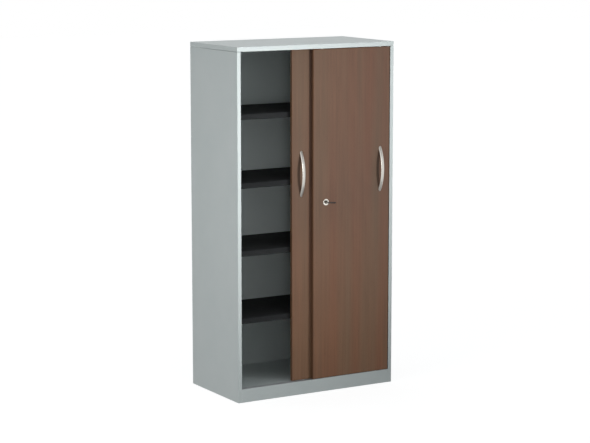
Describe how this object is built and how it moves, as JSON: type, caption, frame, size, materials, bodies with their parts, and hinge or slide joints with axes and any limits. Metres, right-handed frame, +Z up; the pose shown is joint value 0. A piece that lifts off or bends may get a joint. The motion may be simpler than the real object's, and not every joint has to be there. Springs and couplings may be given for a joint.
{
  "type": "sliding door cabinet",
  "caption": "Tall steel office cabinet with walnut sliding doors on bottom rollers, bow handles, a lock with a folding key, and adjustable black shelves.",
  "frame": {"origin": "on the floor, under the middle of the whole outline in X and Y", "axes": "+X to the right seen from the front, +Y from the doors to the back, +Z up"},
  "size_m": [1, 0.5934, 1.95],
  "materials": {
    "painted_steel": "satin light grey powder coat",
    "black_steel": "fine textured black powder coat",
    "zinc_steel": "bright zinc plating",
    "aluminium": "mill finish extrusion",
    "rubber": "matt moulded rubber",
    "walnut": "satin walnut decor on chipboard, matching edge band",
    "satin_nickel": "satin nickel plated zinc die casting",
    "white_nylon": "moulded nylon",
    "chrome": "polished chrome plating",
    "nickel_steel": "nickel plated steel",
    "black_plastic": "moulded black plastic"
  },
  "bodies": {
    "carcass": {"left_side_panel": "painted_steel", "right_side_panel": "painted_steel", "top_panel": "painted_steel", "bottom_panel": "painted_steel", "plinth_front": "painted_steel", "plinth_back": "painted_steel", "back_panel": "painted_steel", "bottom_track": "aluminium", "top_guide_channel": "aluminium", "left_door_stop": "rubber", "upright_front_left": "painted_steel", "upright_rear_left": "painted_steel", "upright_front_right": "painted_steel", "upright_rear_right": "painted_steel", "shelf_1": "black_steel", "shelf_2": "black_steel", "shelf_3": "black_steel", "shelf_4": "black_steel", "shelf_1_clip_front_left": "zinc_steel", "shelf_1_clip_rear_left": "zinc_steel", "shelf_1_clip_front_right": "zinc_steel", "shelf_1_clip_rear_right": "zinc_steel", "shelf_2_clip_front_left": "zinc_steel", "shelf_2_clip_rear_left": "zinc_steel", "shelf_2_clip_front_right": "zinc_steel", "shelf_2_clip_rear_right": "zinc_steel", "shelf_3_clip_front_left": "zinc_steel", "shelf_3_clip_rear_left": "zinc_steel", "shelf_3_clip_front_right": "zinc_steel", "shelf_3_clip_rear_right": "zinc_steel", "shelf_4_clip_front_left": "zinc_steel", "shelf_4_clip_rear_left": "zinc_steel", "shelf_4_clip_front_right": "zinc_steel", "shelf_4_clip_rear_right": "zinc_steel"},
    "left_door": {"left_door_panel": "walnut", "left_handle": "satin_nickel", "left_handle_screw_lower": "zinc_steel", "left_handle_screw_upper": "zinc_steel", "left_roller_housing_a": "zinc_steel", "left_roller_housing_b": "zinc_steel", "left_guide_pin_a": "white_nylon", "left_guide_pin_b": "white_nylon", "strike_plate": "zinc_steel"},
    "right_door": {"right_door_panel": "walnut", "right_handle": "satin_nickel", "right_handle_screw_lower": "zinc_steel", "right_handle_screw_upper": "zinc_steel", "right_roller_housing_a": "zinc_steel", "right_roller_housing_b": "zinc_steel", "right_guide_pin_a": "white_nylon", "right_guide_pin_b": "white_nylon", "lock_housing": "chrome"},
    "left_wheel_a": {"left_wheel_a": "white_nylon"},
    "left_wheel_b": {"left_wheel_b": "white_nylon"},
    "right_wheel_a": {"right_wheel_a": "white_nylon"},
    "right_wheel_b": {"right_wheel_b": "white_nylon"},
    "lock_core": {"lock_core": "chrome"},
    "lock_bolt": {"lock_bolt": "zinc_steel"},
    "key": {"key_blade": "nickel_steel"},
    "key_grip": {"key_grip": "black_plastic"}
  },
  "joints": [
    {"name": "left_door_slide", "type": "slide", "parent": "carcass", "child": "left_door", "axis": [1, 0, 0], "range_m": [-0.332, 0]},
    {"name": "right_door_slide", "type": "slide", "parent": "carcass", "child": "right_door", "axis": [1, 0, 0], "range_m": [-0.05, 0]},
    {"name": "left_wheel_a_spin", "type": "hinge", "parent": "left_door", "child": "left_wheel_a", "pos_m": [-0.064, -0.20684, 0.0878], "axis": [0, 1, 0], "range_deg": [-1590, 0]},
    {"name": "left_wheel_b_spin", "type": "hinge", "parent": "left_door", "child": "left_wheel_b", "pos_m": [0.274, -0.20684, 0.0878], "axis": [0, 1, 0], "range_deg": [-1590, 0]},
    {"name": "right_wheel_a_spin", "type": "hinge", "parent": "right_door", "child": "right_wheel_a", "pos_m": [0.058, -0.23084, 0.0878], "axis": [0, 1, 0], "range_deg": [-240, 0]},
    {"name": "right_wheel_b_spin", "type": "hinge", "parent": "right_door", "child": "right_wheel_b", "pos_m": [0.396, -0.23084, 0.0878], "axis": [0, 1, 0], "range_deg": [-240, 0]},
    {"name": "lock_turn", "type": "hinge", "parent": "right_door", "child": "lock_core", "pos_m": [0.059, -0.24034, 1.074], "axis": [0, 1, 0], "range_deg": [0, 90]},
    {"name": "lock_bolt_throw", "type": "slide", "parent": "right_door", "child": "lock_bolt", "axis": [0, 1, 0], "range_m": [0, 0.004]},
    {"name": "key_withdraw", "type": "slide", "parent": "lock_core", "child": "key", "axis": [0, -1, 0], "range_m": [0, 0.012]},
    {"name": "key_grip_fold", "type": "hinge", "parent": "key", "child": "key_grip", "pos_m": [0.059, -0.26234, 1.074], "axis": [0, 0, 1], "range_deg": [-47.5, 42.5]}
  ],
  "couplings": [
    {"joint": "left_wheel_a_spin", "follows": "left_door_slide", "rad_per_m": 83.333},
    {"joint": "left_wheel_b_spin", "follows": "left_door_slide", "rad_per_m": 83.333},
    {"joint": "right_wheel_a_spin", "follows": "right_door_slide", "rad_per_m": 83.333},
    {"joint": "right_wheel_b_spin", "follows": "right_door_slide", "rad_per_m": 83.333},
    {"joint": "lock_bolt_throw", "follows": "lock_turn", "m_per_rad": 0.002546}
  ]
}
